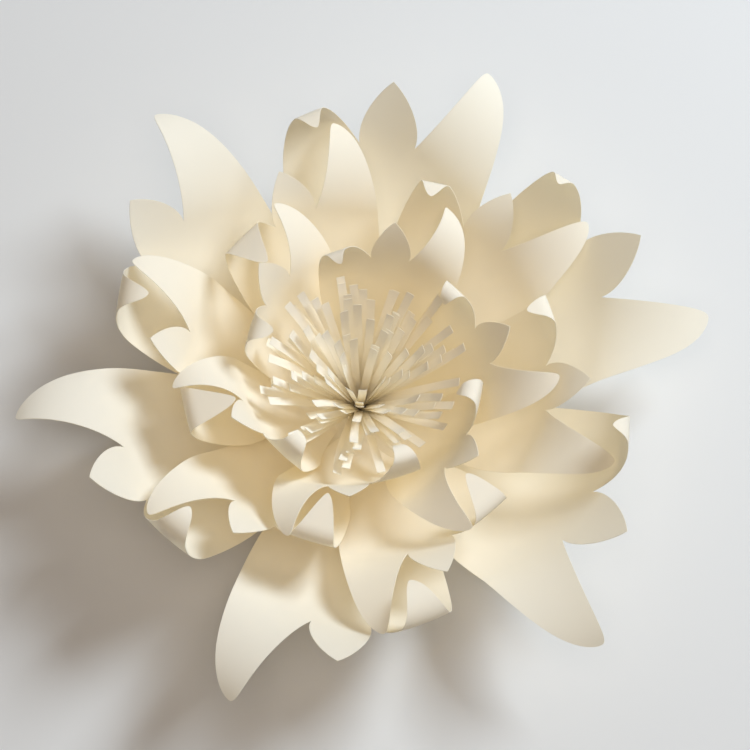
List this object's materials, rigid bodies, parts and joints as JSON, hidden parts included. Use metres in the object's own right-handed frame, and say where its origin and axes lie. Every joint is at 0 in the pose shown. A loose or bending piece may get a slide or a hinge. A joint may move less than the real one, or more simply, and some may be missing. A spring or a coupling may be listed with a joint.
{
  "type": "paper flower",
  "caption": "Large open paper flower: rings of three-lobed card petals with curled tips round a rolled paper fringe, on a flat round backing disc.",
  "frame": {"origin": "centre of the backing disc's flat rear face", "axes": "+Z out of the flower's face, square to the backing disc; +X and +Y lie in the disc's rear face, +Y up when the flower hangs on a wall"},
  "size_m": [0.5781, 0.5414, 0.173],
  "materials": {
    "disc_card": "matt uncoated card",
    "outer_petal_card": "matt ivory card stock",
    "middle_petal_card": "matt ivory card stock",
    "inner_petal_card": "matt ivory card stock",
    "fringe_paper": "matt ivory paper"
  },
  "bodies": {
    "root": {"base_disc": "disc_card", "outer_petal_1": "outer_petal_card", "outer_petal_2": "outer_petal_card", "outer_petal_3": "outer_petal_card", "outer_petal_4": "outer_petal_card", "outer_petal_5": "outer_petal_card", "outer_petal_6": "outer_petal_card", "middle_petal_1": "middle_petal_card", "middle_petal_2": "middle_petal_card", "middle_petal_3": "middle_petal_card", "middle_petal_4": "middle_petal_card", "middle_petal_5": "middle_petal_card", "middle_petal_6": "middle_petal_card", "inner_petal_1": "inner_petal_card", "inner_petal_2": "inner_petal_card", "inner_petal_3": "inner_petal_card", "inner_petal_4": "inner_petal_card", "inner_petal_5": "inner_petal_card", "inner_petal_6": "inner_petal_card", "stamen_strip_1": "fringe_paper", "stamen_strip_2": "fringe_paper", "stamen_strip_3": "fringe_paper", "stamen_strip_4": "fringe_paper", "stamen_strip_5": "fringe_paper"}
  },
  "joints": []
}
